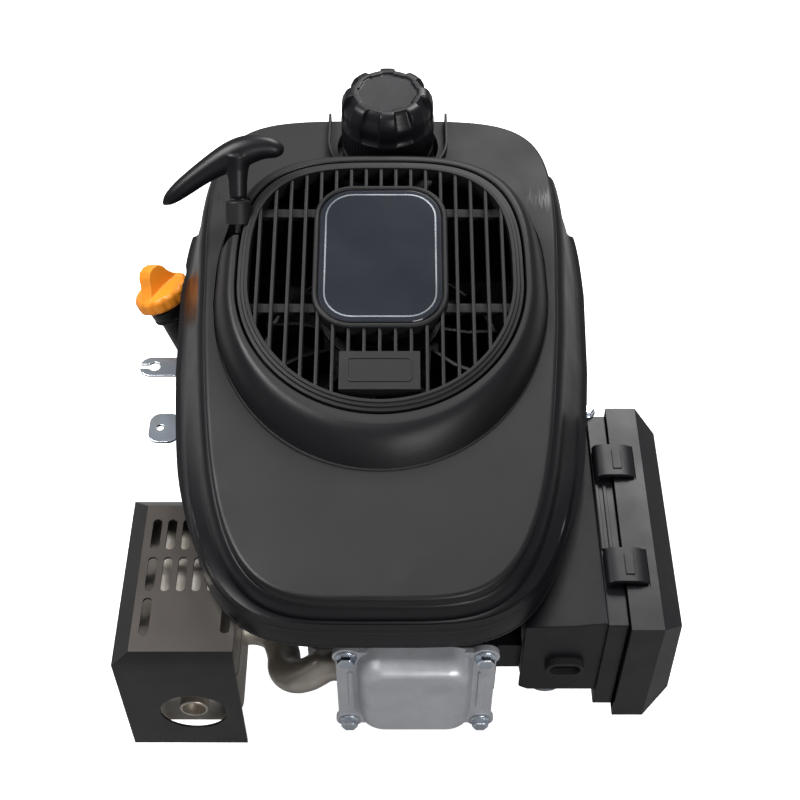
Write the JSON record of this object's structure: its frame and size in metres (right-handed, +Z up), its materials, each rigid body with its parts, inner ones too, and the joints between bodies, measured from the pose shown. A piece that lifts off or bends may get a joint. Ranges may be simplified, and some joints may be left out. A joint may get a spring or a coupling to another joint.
{
  "type": "small petrol engine",
  "caption": "Vertical-shaft single-cylinder overhead-valve petrol engine with a recoil starter, shrouded flywheel fan, rear fuel tank, side air cleaner and guarded muffler.",
  "frame": {"origin": "centre of the flat end face of the output shaft, on the crankshaft axis", "axes": "+Z up along the crankshaft axis, -Y towards the cylinder head and valve cover, +X towards the air cleaner"},
  "size_m": [0.3818, 0.4115, 0.3631],
  "materials": {
    "cast_alloy": "cast, satin",
    "steel": "machined",
    "zinc": "zinc plated",
    "gloss_black": "moulded, satin gloss",
    "matt_black": "moulded, fine grain",
    "orange": "moulded, satin gloss",
    "black_metal": "heat-proof black, satin",
    "rubber": "matt",
    "foam": "open-cell foam",
    "cord": "braided"
  },
  "bodies": {
    "engine": {"cylinder_block": "cast_alloy", "oil_sump": "cast_alloy", "cylinder_head": "cast_alloy", "valve_cover": "cast_alloy", "carburetor": "cast_alloy", "head_gasket": "steel", "rocker_shaft": "steel", "recoil_spring": "steel", "muffler": "steel", "spark_plug": "steel", "valve_cover_bolt_1": "zinc", "valve_cover_bolt_2": "zinc", "valve_cover_bolt_3": "zinc", "valve_cover_bolt_4": "zinc", "control_bracket": "zinc", "float_bowl": "zinc", "blower_housing": "gloss_black", "fuel_tank": "gloss_black", "badge_plate": "gloss_black", "oil_filler_tube": "gloss_black", "insulator_block": "gloss_black", "air_cleaner_base": "gloss_black", "top_cover": "matt_black", "starter_housing": "matt_black", "muffler_guard": "black_metal", "ignition_coil": "black_metal", "upper_oil_seal": "rubber", "lower_oil_seal": "rubber", "spark_plug_boot": "rubber", "air_filter": "foam"},
    "crank": {"crankshaft_lower": "steel", "crankshaft_upper": "steel", "flywheel": "cast_alloy", "cooling_fan": "gloss_black", "starter_cup": "steel", "flywheel_nut": "steel"},
    "camshaft": {"camshaft": "steel"},
    "piston": {"piston": "cast_alloy", "wrist_pin": "steel"},
    "rod": {"connecting_rod": "cast_alloy", "crank_pin": "steel"},
    "handle": {"starter_handle": "gloss_black", "starter_rope": "cord"},
    "reel": {"starter_reel": "gloss_black"},
    "pawl": {"starter_pawl": "steel"},
    "fuel_cap_seal": {"fuel_cap_seal": "rubber"},
    "fuel_cap": {"fuel_cap": "gloss_black"},
    "oil_cap_seal": {"oil_cap_seal": "rubber"},
    "oil_cap": {"oil_cap": "orange"},
    "air_cleaner_cover": {"air_cleaner_cover": "gloss_black"},
    "front_latch": {"front_latch": "gloss_black"},
    "rear_latch": {"rear_latch": "gloss_black"},
    "brake_lever": {"brake_lever": "zinc"},
    "throttle": {"throttle_shaft": "steel"},
    "intake_pushrod": {"intake_pushrod": "steel"},
    "intake_rocker": {"intake_rocker": "steel"},
    "intake_valve": {"intake_valve": "steel"},
    "exhaust_pushrod": {"exhaust_pushrod": "steel"},
    "exhaust_rocker": {"exhaust_rocker": "steel"},
    "exhaust_valve": {"exhaust_valve": "steel"}
  },
  "joints": [
    {"name": "crank_spin", "type": "hinge", "parent": "engine", "child": "crank", "pos_m": [0, 0, 0.146], "axis": [0, 0, 1], "continuous": true},
    {"name": "cam_spin", "type": "hinge", "parent": "engine", "child": "camshaft", "pos_m": [0.052, 0.02993, 0.146], "axis": [0, 0, 1], "continuous": true},
    {"name": "piston_slide", "type": "slide", "parent": "engine", "child": "piston", "axis": [0, 1, 0], "range_m": [0, 0.054]},
    {"name": "rod_swing", "type": "hinge", "parent": "piston", "child": "rod", "pos_m": [0, -0.117, 0.146], "axis": [0, 0, 1], "range_deg": [-17.4, 17.4]},
    {"name": "starter_pull", "type": "slide", "parent": "engine", "child": "handle", "axis": [0, 0.6222, 0.7828], "range_m": [0, 0.7]},
    {"name": "reel_spin", "type": "hinge", "parent": "engine", "child": "reel", "pos_m": [0, 0, 0.276], "axis": [0, 0, 1], "range_deg": [0, 1150]},
    {"name": "pawl_swing", "type": "hinge", "parent": "reel", "child": "pawl", "pos_m": [0.022, 0, 0.26], "axis": [0, 0, -1], "range_deg": [0, 15]},
    {"name": "fuel_cap_lift", "type": "slide", "parent": "engine", "child": "fuel_cap_seal", "axis": [0, 0, 1], "range_m": [0, 0.08]},
    {"name": "fuel_cap_turn", "type": "hinge", "parent": "fuel_cap_seal", "child": "fuel_cap", "pos_m": [0.004, 0.145, 0.322], "axis": [0, 0, 1], "range_deg": [0, 90]},
    {"name": "oil_cap_lift", "type": "slide", "parent": "engine", "child": "oil_cap_seal", "axis": [-0.3802, 0.2501, 0.8904], "range_m": [0, 0.14]},
    {"name": "oil_cap_turn", "type": "hinge", "parent": "oil_cap_seal", "child": "oil_cap", "pos_m": [-0.163, 0.08, 0.2], "axis": [-0.3802, 0.2501, 0.8904], "range_deg": [0, 90]},
    {"name": "air_cleaner_open", "type": "hinge", "parent": "engine", "child": "air_cleaner_cover", "pos_m": [0.157, -0.125, 0.102], "axis": [0, 1, 0], "range_deg": [0, 80]},
    {"name": "front_latch_lift", "type": "hinge", "parent": "air_cleaner_cover", "child": "front_latch", "pos_m": [0.168, -0.168, 0.216], "axis": [0, 1, 0], "range_deg": [0, 55]},
    {"name": "rear_latch_lift", "type": "hinge", "parent": "air_cleaner_cover", "child": "rear_latch", "pos_m": [0.168, -0.084, 0.216], "axis": [0, 1, 0], "range_deg": [0, 55]},
    {"name": "brake_release", "type": "hinge", "parent": "engine", "child": "brake_lever", "pos_m": [-0.112, -0.022, 0.189], "axis": [0, 0, 1], "range_deg": [0, 14]},
    {"name": "throttle_turn", "type": "hinge", "parent": "engine", "child": "throttle", "pos_m": [0.103, -0.182, 0.154], "axis": [0, 0, 1], "range_deg": [0, 75]},
    {"name": "intake_push", "type": "slide", "parent": "engine", "child": "intake_pushrod", "axis": [0, -1, 0], "range_m": [0, 0.0045]},
    {"name": "intake_rock", "type": "hinge", "parent": "engine", "child": "intake_rocker", "pos_m": [0.03, -0.208, 0.1625], "axis": [0, 0, -1], "range_deg": [0, 12]},
    {"name": "intake_open", "type": "slide", "parent": "engine", "child": "intake_valve", "axis": [0, 1, 0], "range_m": [0, 0.0054]},
    {"name": "exhaust_push", "type": "slide", "parent": "engine", "child": "exhaust_pushrod", "axis": [0, -1, 0], "range_m": [0, 0.0045]},
    {"name": "exhaust_rock", "type": "hinge", "parent": "engine", "child": "exhaust_rocker", "pos_m": [0.03, -0.208, 0.1295], "axis": [0, 0, -1], "range_deg": [0, 12]},
    {"name": "exhaust_open", "type": "slide", "parent": "engine", "child": "exhaust_valve", "axis": [0, 1, 0], "range_m": [0, 0.0054]}
  ],
  "couplings": [
    {"joint": "cam_spin", "follows": "crank_spin", "ratio": -0.5},
    {"joint": "reel_spin", "follows": "starter_pull", "rad_per_m": 28},
    {"joint": "intake_rock", "follows": "intake_push", "rad_per_m": 45.455},
    {"joint": "intake_open", "follows": "intake_push", "ratio": 1.1818},
    {"joint": "exhaust_rock", "follows": "exhaust_push", "rad_per_m": 45.455},
    {"joint": "exhaust_open", "follows": "exhaust_push", "ratio": 1.1818}
  ]
}
